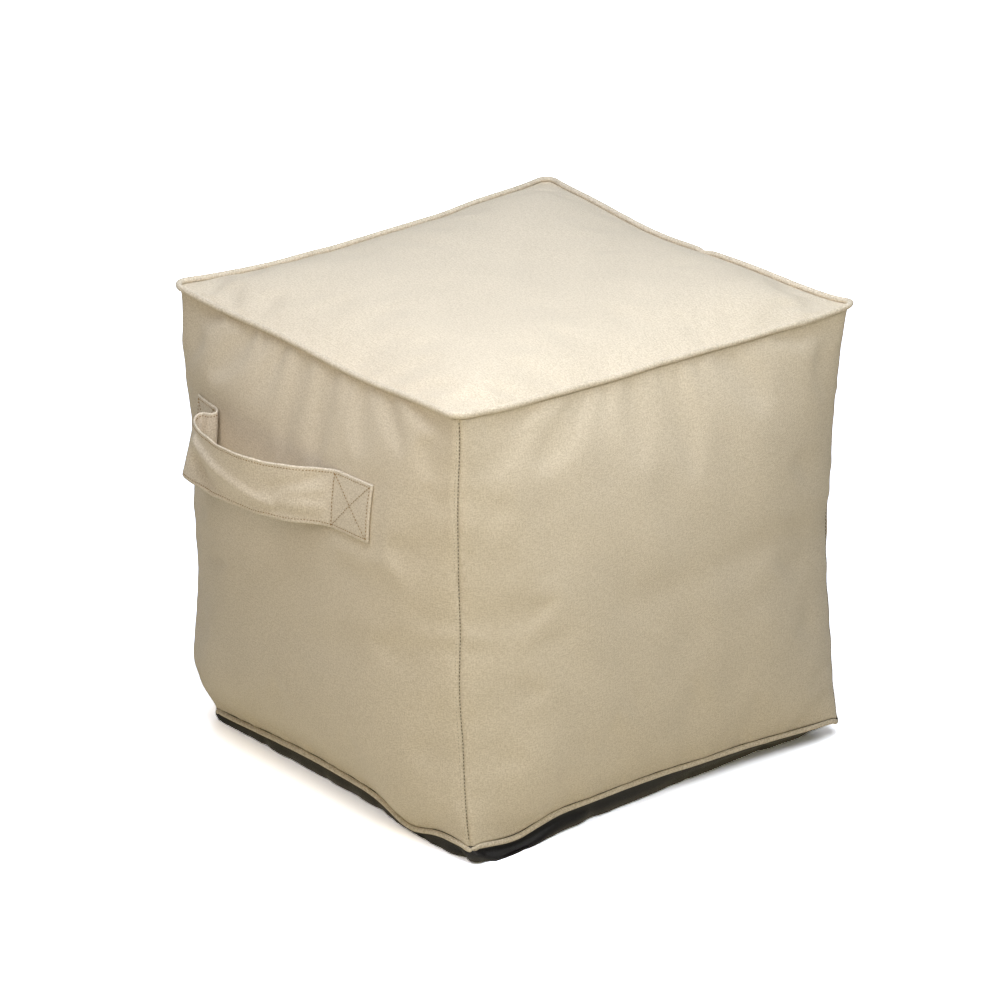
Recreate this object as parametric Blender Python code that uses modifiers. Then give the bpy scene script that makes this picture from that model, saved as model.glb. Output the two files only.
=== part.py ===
"""Cube pouf stool: a bead-filled cloth cube with piped seams and a carry strap. Metres, +Z up.

The origin is the middle of the base, on the floor. The strap is on the -Y face.
A place on the cover is named by (u, v, w), each from -1 to 1: u runs along X, v along Y and
w up, so u = 1 is the +X panel, v = -1 the strap's panel and w = 1 the top.
"""
import math

import bmesh
import bpy
from mathutils import Vector

# ---------------------------------------------------------------- driving sizes
HALF = 0.200            # half the cut width of a panel, from upright seam to upright seam
SEGMENTS = 18           # cells along each edge of the cube
SHEET = 0.0020          # cloth of the top and base panels
GAP = 0.00035           # between any two pieces
CORNER_RADIUS = 0.014   # upright corners, in plan
CHANNEL = 0.0012        # how far an upright seam is pulled in below the cloth beside it

TOP_PIPING = 0.00275    # radius of the covered cord
BASE_PIPING = 0.0025
PIPING_EAR = 0.0015     # the top cord stands this much higher at the corners
EAR_REACH = 0.10        # share of a side over which it settles back

STRAP_WIDTH = 0.0485
STRAP_THICK = 0.0028
STRAP_MIDDLE = 0.2925   # height of its centre line above the floor
STRAP_LIFT = 0.0005     # between the sewn ends and the panel
STRAP_STEPS = 5         # cells between two of the route's points
STRAP_COLUMNS = 5       # cells across its width
UPRIGHT_AT = 0.020      # past this stand-off the strap no longer leans with the panel

# corner of the seams: u, v, w -> x, y, z
CORNERS = {
    (-1, -1, 1): (-0.203, -0.201, 0.399),
    (1, -1, 1): (0.202, -0.202, 0.399),
    (1, 1, 1): (0.207, 0.205, 0.395),
    (-1, 1, 1): (-0.205, 0.201, 0.400),
    (-1, -1, -1): (-0.192, -0.196, 0.015),
    (1, -1, -1): (0.194, -0.202, 0.013),
    (1, 1, -1): (0.200, 0.197, 0.017),
    (-1, 1, -1): (-0.194, 0.196, 0.015),
}

# seam round the top and round the base, one row a side:
# side axis, side sign, w, drawn in, lift of the middle, dip is at, dip depth
SEAMS = [
    ("v", -1, 1, 0.007, -0.003, 0.0, 0.0),
    ("u", 1, 1, 0.007, -0.005, 0.0, 0.0),
    ("v", 1, 1, 0.005, -0.004, 0.0, 0.0),
    ("u", -1, 1, 0.007, -0.004, 0.0, 0.0),
    ("v", -1, -1, -0.002, 0.007, 0.60, 0.018),
    ("u", 1, -1, 0.004, 0.006, -0.74, 0.017),
    ("v", 1, -1, 0.004, 0.008, 0.0, 0.0),
    ("u", -1, -1, 0.004, 0.008, 0.0, 0.0),
]
DIP_WIDTH = 0.18

# upright seam: u, v -> shift at mid-height (x, y), shift of the low bulge (x, y)
UPRIGHTS = {
    (-1, -1): ((0.002, 0.001), (-0.011, -0.009)),
    (1, -1): ((-0.008, 0.002), (0.002, -0.002)),
    (1, 1): ((-0.010, -0.010), (0.000, 0.000)),
    (-1, 1): ((0.005, -0.005), (-0.006, 0.006)),
}
LOW_BULGE_AT = 0.12     # share of the height at which the low bulge is fullest

# crown of each side panel: axis, sign, crown
CROWNS = [("v", -1, 0.036), ("u", 1, 0.036), ("v", 1, 0.034), ("u", -1, 0.034)]
TOP_CROWN = 0.022
TOP_POWER = 6           # higher is flatter in the middle and steeper at the edge
BASE_DROP = 0.034
BASE_POWER = 20
SIDE_POWER = 4

# fullness of a side panel: share of the height, share of its crown
FULLNESS = [
    (0.00, 0.00), (0.06, 0.42), (0.14, 0.72), (0.28, 0.95), (0.45, 1.00),
    (0.65, 0.93), (0.82, 0.66), (0.93, 0.32), (1.00, 0.00),
]

# strap seen from above, from its left end to its right end: x, stand-off from the panel
STRAP_ROUTE = [
    (-0.155, 0.000), (-0.137, 0.000), (-0.120, 0.000), (-0.1125, 0.004), (-0.114, 0.011),
    (-0.120, 0.017), (-0.119, 0.024), (-0.108, 0.029), (-0.084, 0.035), (-0.057, 0.038),
    (-0.023, 0.035), (0.002, 0.027), (0.024, 0.018), (0.042, 0.007), (0.056, 0.001),
    (0.067, 0.000), (0.086, 0.000), (0.106, 0.000),
]

CLOTH = ("pouf_cloth", (0.62, 0.54, 0.42), 0.80)
BASE_CLOTH = ("pouf_base_cloth", (0.020, 0.019, 0.021), 0.65)


# ---------------------------------------------------------------- the cover's shape
def hump(t):
    """1 in the middle of an edge, 0 at its ends."""
    return 1.0 - t * t


def fullness(share):
    """Reads the FULLNESS table with a curve that keeps its slope from row to row."""
    slopes = [(b - a) / (high - low) for (low, a), (high, b) in zip(FULLNESS, FULLNESS[1:])]
    slopes = [slopes[0]] + [(a + b) / 2.0 for a, b in zip(slopes, slopes[1:])] + [slopes[-1]]
    rows = zip(FULLNESS, FULLNESS[1:], slopes, slopes[1:])
    for (low, a), (high, b), slope_a, slope_b in rows:
        if share <= high:
            span = high - low
            t = (share - low) / span
            bend = t * (1.0 - t) * span * (slope_a * (1.0 - t) - slope_b * t)
            return a + (b - a) * t * t * (3.0 - 2.0 * t) + bend
    return 0.0


def round_plan(u, v):
    """Turns the square's corners into quarter circles, in u and v."""
    rho = CORNER_RADIUS / HALF
    p, q = abs(u) - (1.0 - rho), abs(v) - (1.0 - rho)
    if p <= 0.0 or q <= 0.0:
        return u, v
    p2 = p * math.sqrt(1.0 - 0.5 * (q / rho) ** 2)
    q2 = q * math.sqrt(1.0 - 0.5 * (p / rho) ** 2)
    return math.copysign(1.0 - rho + p2, u), math.copysign(1.0 - rho + q2, v)


def corner_frame(u, v, w):
    """Straight-edged box through the eight seam corners."""
    place = Vector()
    for (cu, cv, cw), corner in CORNERS.items():
        share = (1 + cu * u) * (1 + cv * v) * (1 + cw * w) / 8.0
        place += share * Vector(corner)
    return place


def seam_shift(u, v, w):
    """Draw-in, lift and dip of the seams round the top and the base."""
    shift = Vector()
    for axis, sign, level, drawn_in, lift, dip_at, dip in SEAMS:
        along, across = (v, u) if axis == "u" else (u, v)
        near = (1 + sign * across) * (1 + level * w) / 4.0
        bow = near * hump(along)
        side = Vector((sign, 0, 0)) if axis == "u" else Vector((0, sign, 0))
        shift -= side * drawn_in * bow
        shift.z += bow * (lift - dip * math.exp(-((along - dip_at) / DIP_WIDTH) ** 2))
    return shift


def upright_shift(u, v, w):
    """Bow and low bulge of the four upright seams."""
    share = (1 + w) / 2.0
    rise = share / LOW_BULGE_AT
    low = (rise * math.exp(1.0 - rise)) ** 2
    shift = Vector()
    for (cu, cv), (middle, bulge) in UPRIGHTS.items():
        near = (1 + cu * u) * (1 + cv * v) / 4.0
        shift.x += near * (middle[0] * hump(w) + bulge[0] * low)
        shift.y += near * (middle[1] * hump(w) + bulge[1] * low)
    return shift


def crown_shift(u, v, w):
    """How far the filling pushes each panel out."""
    shift = Vector()
    full = fullness((1 + w) / 2.0)
    for axis, sign, crown in CROWNS:
        along, across = (v, u) if axis == "u" else (u, v)
        out = crown * full * (1.0 - along ** SIDE_POWER) * max(0.0, sign * across)
        shift += Vector((sign * out, 0, 0)) if axis == "u" else Vector((0, sign * out, 0))
    top = (1.0 - abs(u) ** TOP_POWER) * (1.0 - abs(v) ** TOP_POWER)
    base = (1.0 - abs(u) ** BASE_POWER) * (1.0 - abs(v) ** BASE_POWER)
    shift.z += TOP_CROWN * top * (1 + w) / 2.0 - BASE_DROP * base * (1 - w) / 2.0
    return shift


def cover(u, v, w):
    """A point on the outside of the filled cover; nothing goes below the floor."""
    u, v = round_plan(u, v)
    place = corner_frame(u, v, w) + seam_shift(u, v, w) + upright_shift(u, v, w)
    place += crown_shift(u, v, w)
    place.z = max(place.z, 0.0)
    return place


def tucked(place, depth, w):
    """The same point one cloth further in: towards the middle, and down (w = 1) or up."""
    shrink = 1.0 - depth / HALF
    return Vector((place.x * shrink, place.y * shrink, place.z - w * depth))


def spaced(t):
    """Cells grow from the seams towards the middle."""
    return math.sin(0.5 * math.pi * t)


# ---------------------------------------------------------------- making objects
def material(name, colour, roughness):
    made = bpy.data.materials.get(name) or bpy.data.materials.new(name)
    made.use_nodes = True
    shader = made.node_tree.nodes["Principled BSDF"]
    shader.inputs["Base Color"].default_value = (*colour, 1.0)
    shader.inputs["Roughness"].default_value = roughness
    shader.inputs["Metallic"].default_value = 0.0
    return made


def add_object(name, data, finish, collection):
    made = bpy.data.objects.new(name, data)
    collection.objects.link(made)
    made.data.materials.append(material(*finish))
    return made


def add_mesh(name, bm, finish, collection):
    mesh = bpy.data.meshes.new(name)
    bm.to_mesh(mesh)
    bm.free()
    made = add_object(name, mesh, finish, collection)
    made.data.shade_smooth()
    made.data.set_sharp_from_angle(angle=math.radians(50))
    return made


def unit_cube(edges_to_cut, cuts):
    """A cube from -1 to 1 with the chosen edges divided and its faces filled with a grid."""
    bm = bmesh.new()
    bmesh.ops.create_cube(bm, size=2.0)
    edges = [edge for edge in bm.edges if edges_to_cut(edge)]
    bmesh.ops.subdivide_edges(bm, edges=edges, cuts=cuts, use_grid_fill=True)
    split_outwards(bm)
    return bm


def is_level(edge):
    return abs(edge.verts[0].co.z - edge.verts[1].co.z) < 0.5


def split_outwards(bm):
    """Cuts the top's and base's cells along the diagonal that points away from the middle.

    A sheet and the face of the body under it are then cut alike, and stay the same gap apart.
    """
    for face in list(bm.faces):
        if abs(sum(vert.co.z for vert in face.verts)) > 3.999:
            order = sorted(face.verts, key=lambda vert: abs(vert.co.x) + abs(vert.co.y))
            bmesh.utils.face_split(face, order[0], order[-1])


def place_of_body(u, v, w):
    """The filled body: the side panels' outside, and the inside of the top and base panels."""
    place = cover(u, v, w)
    if abs(w) == 1.0:
        return tucked(place, SHEET + GAP, w)
    if abs(u) == 1.0 and abs(v) == 1.0:
        return place - CHANNEL * Vector((u, v, 0)).normalized()
    return place


def make_body(collection):
    bm = unit_cube(lambda edge: True, SEGMENTS - 1)
    for vert in bm.verts:
        u, v, w = (round(spaced(t), 9) for t in vert.co)
        vert.co = place_of_body(u, v, w)
    return add_mesh("pouf_body", bm, CLOTH, collection)


def make_panel(name, w, finish, collection):
    """A sheet that closes the top (w = 1) or the base (w = -1)."""
    bm = unit_cube(is_level, SEGMENTS - 1)
    for vert in bm.verts:
        u, v = spaced(vert.co.x), spaced(vert.co.y)
        outside = vert.co.z * w > 0
        vert.co = tucked(cover(u, v, w), 0.0 if outside else SHEET, w)
    return add_mesh(name, bm, finish, collection)


def round_the_seam():
    """(u, v) round the square, counter-clockwise from the -X -Y corner, each corner once."""
    steps = [spaced(2.0 * i / SEGMENTS - 1.0) for i in range(SEGMENTS)]
    for t in steps:
        yield t, -1.0
    for t in steps:
        yield 1.0, t
    for t in steps:
        yield -t, 1.0
    for t in steps:
        yield -1.0, -t


def make_piping(name, w, radius, out, up, ear, collection):
    """A covered cord round the top or base seam, just outside it."""
    curve = bpy.data.curves.new(name, "CURVE")
    curve.dimensions = "3D"
    curve.twist_mode = "Z_UP"
    curve.bevel_depth = radius
    curve.bevel_resolution = 2
    route = []
    for u, v in round_the_seam():
        seam = cover(u, v, w)
        from_corner = (1.0 - min(abs(u), abs(v))) / EAR_REACH
        raised = ear * math.exp(-from_corner ** 2)
        side = outward(u, v)
        route.append(seam + (radius + GAP) * (out * side + up * Vector((0, 0, 1)))
                     + raised * (0.5 * side + Vector((0, 0, 1))))
    spline = curve.splines.new("POLY")
    spline.points.add(len(route) - 1)
    for point, place in zip(spline.points, route):
        point.co = (*place, 1.0)
    spline.use_cyclic_u = True
    return add_object(name, curve, CLOTH, collection)


def outward(u, v):
    """Level direction away from the seam, turning smoothly round the corners."""
    rho = CORNER_RADIUS / HALF
    p = max(0.0, (abs(u) - (1.0 - rho)) / rho)
    q = max(0.0, (abs(v) - (1.0 - rho)) / rho)
    return Vector((math.copysign(p, u), math.copysign(q, v), 0)).normalized()


# ---------------------------------------------------------------- carry strap
def panel_depth(x, z):
    """Y of the strap's panel at x and z."""
    u, w = x / HALF, z / HALF - 1.0
    for _ in range(8):
        place = cover(u, -1.0, w)
        u += (x - place.x) / HALF
        w += (z - place.z) / HALF
    return cover(u, -1.0, w).y


def smooth_route(points, steps):
    """Catmull-Rom curve through the points."""
    ends = [points[0]] + list(points) + [points[-1]]
    route = []
    for a, b, c, d in zip(ends, ends[1:], ends[2:], ends[3:]):
        for i in range(steps):
            t = i / steps
            route.append(tuple(
                0.5 * (2 * q + (r - p) * t + (2 * p - 5 * q + 4 * r - s) * t * t
                       + (3 * q - p - 3 * r + s) * t ** 3)
                for p, q, r, s in zip(a, b, c, d)))
    route.append(points[-1])
    return route


def strap_place(x, stand, across):
    """Middle of the strap's thickness; across runs from -1, its lower edge, to 1."""
    z = STRAP_MIDDLE + across * STRAP_WIDTH / 2.0
    middle = panel_depth(x, STRAP_MIDDLE)
    lean = (panel_depth(x, z) - middle) * max(0.0, 1.0 - stand / UPRIGHT_AT)
    return Vector((x, middle + lean - stand - STRAP_LIFT - STRAP_THICK / 2.0, z))


def make_strap(collection):
    bm = bmesh.new()
    rows = []
    for x, stand in smooth_route(STRAP_ROUTE, STRAP_STEPS):
        row = [bm.verts.new(strap_place(x, max(stand, 0.0), 2.0 * i / STRAP_COLUMNS - 1.0))
               for i in range(STRAP_COLUMNS + 1)]
        rows.append(row)
    for left, right in zip(rows, rows[1:]):
        for i in range(STRAP_COLUMNS):
            bm.faces.new((left[i], right[i], right[i + 1], left[i + 1]))
    strap = add_mesh("handle_strap", bm, CLOTH, collection)
    wall = strap.modifiers.new("thickness", "SOLIDIFY")
    wall.thickness = STRAP_THICK
    wall.offset = 0.0
    wall.use_even_offset = True
    return strap


def main():
    for old in list(bpy.data.objects):
        bpy.data.objects.remove(old, do_unlink=True)
    parts = bpy.data.collections.new("cube_pouf_stool")
    bpy.context.scene.collection.children.link(parts)
    make_body(parts)
    make_panel("top_panel", 1, CLOTH, parts)
    make_panel("base_panel", -1, BASE_CLOTH, parts)
    make_piping("top_piping", 1, TOP_PIPING, 0.75, 0.66, PIPING_EAR, parts)
    make_piping("base_piping", -1, BASE_PIPING, 0.80, -0.60, 0.0, parts)
    make_strap(parts)


main()
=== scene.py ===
import math
import random

import bpy
import numpy as np
from mathutils import Matrix, Vector


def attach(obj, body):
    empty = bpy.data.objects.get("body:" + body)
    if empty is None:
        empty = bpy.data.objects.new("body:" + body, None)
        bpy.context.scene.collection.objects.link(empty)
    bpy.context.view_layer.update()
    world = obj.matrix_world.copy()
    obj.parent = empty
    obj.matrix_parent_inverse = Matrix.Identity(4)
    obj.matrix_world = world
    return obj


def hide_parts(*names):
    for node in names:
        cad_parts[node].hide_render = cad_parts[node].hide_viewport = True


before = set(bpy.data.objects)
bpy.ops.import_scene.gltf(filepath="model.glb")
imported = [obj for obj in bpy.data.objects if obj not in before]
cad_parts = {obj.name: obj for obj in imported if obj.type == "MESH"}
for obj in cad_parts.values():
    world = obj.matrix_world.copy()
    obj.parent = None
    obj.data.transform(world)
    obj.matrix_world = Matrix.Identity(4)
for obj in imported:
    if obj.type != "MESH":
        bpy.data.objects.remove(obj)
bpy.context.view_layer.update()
print("frame loaded:", sorted(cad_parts))

# what several pieces share, in metres; u runs along X, v along Y and w up, each from -1 to 1
pouf = {
    "half": 0.200,            # half a panel's width
    "cornerRadius": 0.011,
    "topCrown": 0.022,
    "topPower": 6,
    "baseDrop": 0.034,
    "basePower": 20,
    "sidePower": 4,
    "clothThickness": 0.0020,
    "gap": 0.00035,
    "lowBulgeAt": 0.12,
    "dipWidth": 0.18,
}

# the seam corners of the cover: u, v, w -> x, y, z
seamCorners = {
    (-1, -1, 1): (-0.203, -0.201, 0.399),
    (1, -1, 1): (0.2005, -0.2035, 0.396),
    (1, 1, 1): (0.207, 0.205, 0.395),
    (-1, 1, 1): (-0.205, 0.201, 0.400),
    (-1, -1, -1): (-0.1905, -0.194, 0.010),
    (1, -1, -1): (0.193, -0.201, 0.0165),
    (1, 1, -1): (0.200, 0.197, 0.017),
    (-1, 1, -1): (-0.194, 0.196, 0.015),
}

# side axis, its sign, w, drawn in, lift of the middle, where it dips, how deep
levelSeams = [
    ("v", -1, 1, 0.007, -0.003, 0.0, 0.0),
    ("u", 1, 1, 0.007, -0.005, 0.0, 0.0),
    ("v", 1, 1, 0.005, -0.004, 0.0, 0.0),
    ("u", -1, 1, 0.007, -0.004, 0.0, 0.0),
    ("v", -1, -1, -0.002, 0.007, 0.60, 0.018),
    ("u", 1, -1, 0.004, 0.006, -0.82, 0.018),
    ("v", 1, -1, 0.004, 0.008, 0.0, 0.0),
    ("u", -1, -1, 0.004, 0.008, 0.0, 0.0),
]

# u, v -> shift of the upright seam at mid-height, shift of its low bulge
uprightSeams = {
    (-1, -1): ((0.002, 0.001), (-0.011, -0.009)),
    (1, -1): ((-0.008, 0.002), (0.002, -0.002)),
    (1, 1): ((-0.010, -0.010), (0.000, 0.000)),
    (-1, 1): ((0.005, -0.005), (-0.006, 0.006)),
}

# side axis, its sign, crown of the panel
panelCrowns = [("v", -1, 0.036), ("u", 1, 0.036), ("v", 1, 0.034), ("u", -1, 0.034)]

# share of the height, share of the crown
fullnessRows = np.array([
    (0.00, 0.00), (0.06, 0.42), (0.14, 0.72), (0.28, 0.95), (0.45, 1.00),
    (0.65, 0.93), (0.82, 0.66), (0.93, 0.32), (1.00, 0.00),
])


def hump(t):
    return 1.0 - t * t


def bell(gap, width):
    return np.exp(-(gap / width) ** 2)


def ramp(distance, width):
    return np.clip(distance / width, 0, 1)


def ease(t):
    return t * t * (3 - 2 * t)


def gridOf(lines):
    return np.meshgrid(lines, lines, indexing="ij")


def lengthAlong(points):
    return np.concatenate([[0], np.cumsum(np.linalg.norm(np.diff(points, axis=0), axis=1))])


def fullness(share):
    # one smooth curve through the rows
    x, y = fullnessRows[:, 0], fullnessRows[:, 1]
    slope = np.diff(y) / np.diff(x)
    slopes = np.concatenate([slope[:1], (slope[1:] + slope[:-1]) / 2, slope[-1:]])
    i = np.clip(np.searchsorted(x, share, side="right") - 1, 0, len(x) - 2)
    span = x[i + 1] - x[i]
    t = np.clip((share - x[i]) / span, 0.0, 1.0)
    bend = t * (1 - t) * span * (slopes[i] * (1 - t) - slopes[i + 1] * t)
    return y[i] + (y[i + 1] - y[i]) * t * t * (3 - 2 * t) + bend


def roundPlan(u, v):
    # the square's corners become quarter circles
    rho = pouf["cornerRadius"] / pouf["half"]
    p, q = np.abs(u) - (1 - rho), np.abs(v) - (1 - rho)
    inside = (p > 0) & (q > 0)
    p2 = np.where(inside, p * np.sqrt(np.maximum(0.0, 1 - 0.5 * (q / rho) ** 2)), p)
    q2 = np.where(inside, q * np.sqrt(np.maximum(0.0, 1 - 0.5 * (p / rho) ** 2)), q)
    return np.copysign(1 - rho + p2, u), np.copysign(1 - rho + q2, v)


def cover(u, v, w):
    # the outside of the filled cover, by the same rule as its solids
    u, v, w = np.broadcast_arrays(*(np.asarray(t, float) for t in (u, v, w)))
    u, v = roundPlan(u, v)
    place = np.zeros(u.shape + (3,))
    for (cu, cv, cw), corner in seamCorners.items():
        place += ((1 + cu * u) * (1 + cv * v) * (1 + cw * w) / 8)[..., None] * np.array(corner)
    for axis, sign, level, drawnIn, lift, dipAt, dip in levelSeams:
        along, across, column = (v, u, 0) if axis == "u" else (u, v, 1)
        bow = (1 + sign * across) * (1 + level * w) / 4 * hump(along)
        place[..., column] -= sign * drawnIn * bow
        place[..., 2] += bow * (lift - dip * bell(along - dipAt, pouf["dipWidth"]))
    rise = (1 + w) / 2 / pouf["lowBulgeAt"]
    low = (rise * np.exp(1 - rise)) ** 2
    for (cu, cv), (middle, bulge) in uprightSeams.items():
        near = (1 + cu * u) * (1 + cv * v) / 4
        for column in (0, 1):
            place[..., column] += near * (middle[column] * hump(w) + bulge[column] * low)
    full = fullness((1 + w) / 2)
    for axis, sign, crown in panelCrowns:
        along, across, column = (v, u, 0) if axis == "u" else (u, v, 1)
        out = crown * full * (1 - np.abs(along) ** pouf["sidePower"]) * np.maximum(0, sign * across)
        place[..., column] += sign * out
    n, m = pouf["topPower"], pouf["basePower"]
    place[..., 2] += pouf["topCrown"] * (1 - np.abs(u) ** n) * (1 - np.abs(v) ** n) * (1 + w) / 2
    place[..., 2] -= pouf["baseDrop"] * (1 - np.abs(u) ** m) * (1 - np.abs(v) ** m) * (1 - w) / 2
    place[..., 2] = np.maximum(place[..., 2], 0.0)
    return place


# grids of places on the six panels

sides = ("front", "right", "back", "left")
filledFaces = sides + ("top", "base")


def faceUvw(face, a, b):
    # a runs to the right and b up, as each panel is seen from outside
    one = np.ones(np.broadcast(a, b).shape)
    a, b = a * one, b * one
    return {
        "front": (a, -one, b), "right": (one, a, b), "back": (-a, one, b),
        "left": (-one, -a, b), "top": (a, b, one), "base": (b, a, -one),
    }[face]


def spacedLines(nearSeam, step):
    # lines close together by the seams, then an even step; from -1 to 1
    half = pouf["half"]
    inner = half - nearSeam[-1]
    count = 2 * math.ceil(inner / step)
    middle = np.linspace(-inner, inner, count + 1) / half
    edge = 1 - np.array(nearSeam[:-1]) / half
    return np.concatenate([-edge, middle, edge[::-1]])


def facesOf(ids):
    # quads of one grid of point numbers, facing out
    return np.stack([ids[:-1, :-1], ids[1:, :-1], ids[1:, 1:], ids[:-1, 1:]], -1).reshape(-1, 4)


def normalsOf(place):
    along, up = np.gradient(place, axis=0), np.gradient(place, axis=1)
    normal = np.cross(along, up)
    return normal / np.maximum(np.linalg.norm(normal, axis=-1, keepdims=True), 1e-9)


def meshOf(name, places, quads, uvs=None):
    mesh = bpy.data.meshes.new(name)
    mesh.vertices.add(len(places))
    mesh.vertices.foreach_set("co", np.asarray(places, np.float32).ravel())
    mesh.loops.add(quads.size)
    mesh.loops.foreach_set("vertex_index", quads.astype(np.int32).ravel())
    mesh.polygons.add(len(quads))
    mesh.polygons.foreach_set("loop_start", np.arange(0, quads.size, 4, dtype=np.int32))
    mesh.update(calc_edges=True)
    mesh.validate()
    mesh.shade_smooth()
    if uvs is not None:
        layer = mesh.uv_layers.new(name="clothMetres")
        layer.uv.foreach_set("vector", np.asarray(uvs, np.float32).ravel())
    made = bpy.data.objects.new(name, mesh)
    bpy.context.scene.collection.objects.link(made)
    return made


def weldFaces(grids, lines):
    # one closed form from the six grids: shared rows become one; gives places, quads and uvs
    keys, places, quads, uvs = [], [], [], []
    a, b = gridOf(lines)
    start = 0
    for number, (face, grid) in enumerate(grids.items()):
        keys.append(np.stack(faceUvw(face, a, b), -1).reshape(-1, 3))
        places.append(grid.reshape(-1, 3))
        ids = start + np.arange(a.size).reshape(a.shape)
        quads.append(facesOf(ids))
        flat = np.stack([a * pouf["half"] + 0.5 * number, b * pouf["half"]], -1).reshape(-1, 2)
        uvs.append(flat[quads[-1] - start].reshape(-1, 2))
        start += a.size
    keys = np.round(np.concatenate(keys), 7)
    _, first, back = np.unique(keys, axis=0, return_index=True, return_inverse=True)
    back = back.ravel()
    return np.concatenate(places)[first], back[np.concatenate(quads)], np.concatenate(uvs), back


# the filling pushes the cloth out between its seams: a cloth simulation

settling = {
    "cells": 56,              # along each edge of the bag
    "extraCloth": 0.014,      # share by which the cloth was cut larger
    "pressure": 4.0,
    "stiffness": 15.0,
    "bending": 6.0,
    "frames": 20,
    "smoothing": 60,          # passes; what they keep is the fitted crown, not a wrinkle
    "cap": 0.0022,            # no wrinkle moves further than this
}


def settleCover():
    # wrinkles of each panel on an even grid, as moves in metres
    n = settling["cells"]
    lines = np.linspace(-1, 1, n + 1)
    a, b = gridOf(lines)
    grids = {face: cover(*faceUvw(face, a, b)) for face in filledFaces}
    places, quads, _, back = weldFaces(grids, lines)
    bag = meshOf("settlingBag", places, quads)
    held = bag.vertex_groups.new(name="seams")
    edge = (np.abs(a) == 1) | (np.abs(b) == 1)
    numbers = back.reshape(6, n + 1, n + 1)
    floor = places[:, 2] < 1e-4
    fixed = set(numbers[:, edge].ravel().tolist()) | set(np.flatnonzero(floor).tolist())
    held.add(sorted(fixed), 1.0, "REPLACE")
    cloth = bag.modifiers.new("cloth", "CLOTH")
    cloth.settings.quality = 5
    cloth.settings.mass = 0.3
    cloth.settings.tension_stiffness = settling["stiffness"]
    cloth.settings.compression_stiffness = settling["stiffness"]
    cloth.settings.shear_stiffness = settling["stiffness"] / 3
    cloth.settings.bending_stiffness = settling["bending"]
    cloth.settings.use_pressure = True
    cloth.settings.uniform_pressure_force = settling["pressure"]
    cloth.settings.vertex_group_mass = "seams"
    cloth.settings.shrink_min = -settling["extraCloth"]
    cloth.settings.effector_weights.gravity = 0
    cloth.collision_settings.use_collision = False
    cloth.point_cache.frame_start = 1
    cloth.point_cache.frame_end = settling["frames"]
    scene = bpy.context.scene
    for number in range(1, settling["frames"] + 1):
        scene.frame_set(number)
    settled = bag.evaluated_get(bpy.context.evaluated_depsgraph_get()).data
    after = np.zeros(len(places) * 3)
    settled.vertices.foreach_get("co", after)
    moved = after.reshape(-1, 3) - places
    bpy.data.objects.remove(bag)
    scene.frame_set(1)
    wrinkles = {}
    for number, face in enumerate(filledFaces):
        move = moved[numbers[number]]
        wide = move.copy()
        for _ in range(settling["smoothing"]):
            wide[1:-1] = 0.25 * wide[:-2] + 0.5 * wide[1:-1] + 0.25 * wide[2:]
            wide[:, 1:-1] = 0.25 * wide[:, :-2] + 0.5 * wide[:, 1:-1] + 0.25 * wide[:, 2:]
        fine = move - wide
        length = np.linalg.norm(fine, axis=-1, keepdims=True) + 1e-12
        wrinkles[face] = fine / length * settling["cap"] * np.tanh(length / settling["cap"])
    print("cover settled: widest move", round(float(np.abs(moved).max()), 4))
    return wrinkles


def cubicWeights(lines, n):
    # reads an even grid of n cells at other places, along one edge
    at = (np.asarray(lines) + 1) / 2 * n
    low = np.clip(np.floor(at).astype(int), 0, n - 1)
    t = at - low
    weights = np.zeros((len(at), n + 1))
    shares = (
        (-t + 2 * t**2 - t**3) / 2, (2 - 5 * t**2 + 3 * t**3) / 2,
        (t + 4 * t**2 - 3 * t**3) / 2, (-t**2 + t**3) / 2,
    )
    for offset, share in zip((-1, 0, 1, 2), shares):
        np.add.at(weights, (np.arange(len(at)), np.clip(low + offset, 0, n)), share)
    return weights


def settledMove(face, lines):
    weights = cubicWeights(lines, settling["cells"])
    return np.einsum("ai,ijk,bj->abk", weights, wrinkles[face], weights)


wrinkles = settleCover()
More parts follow.
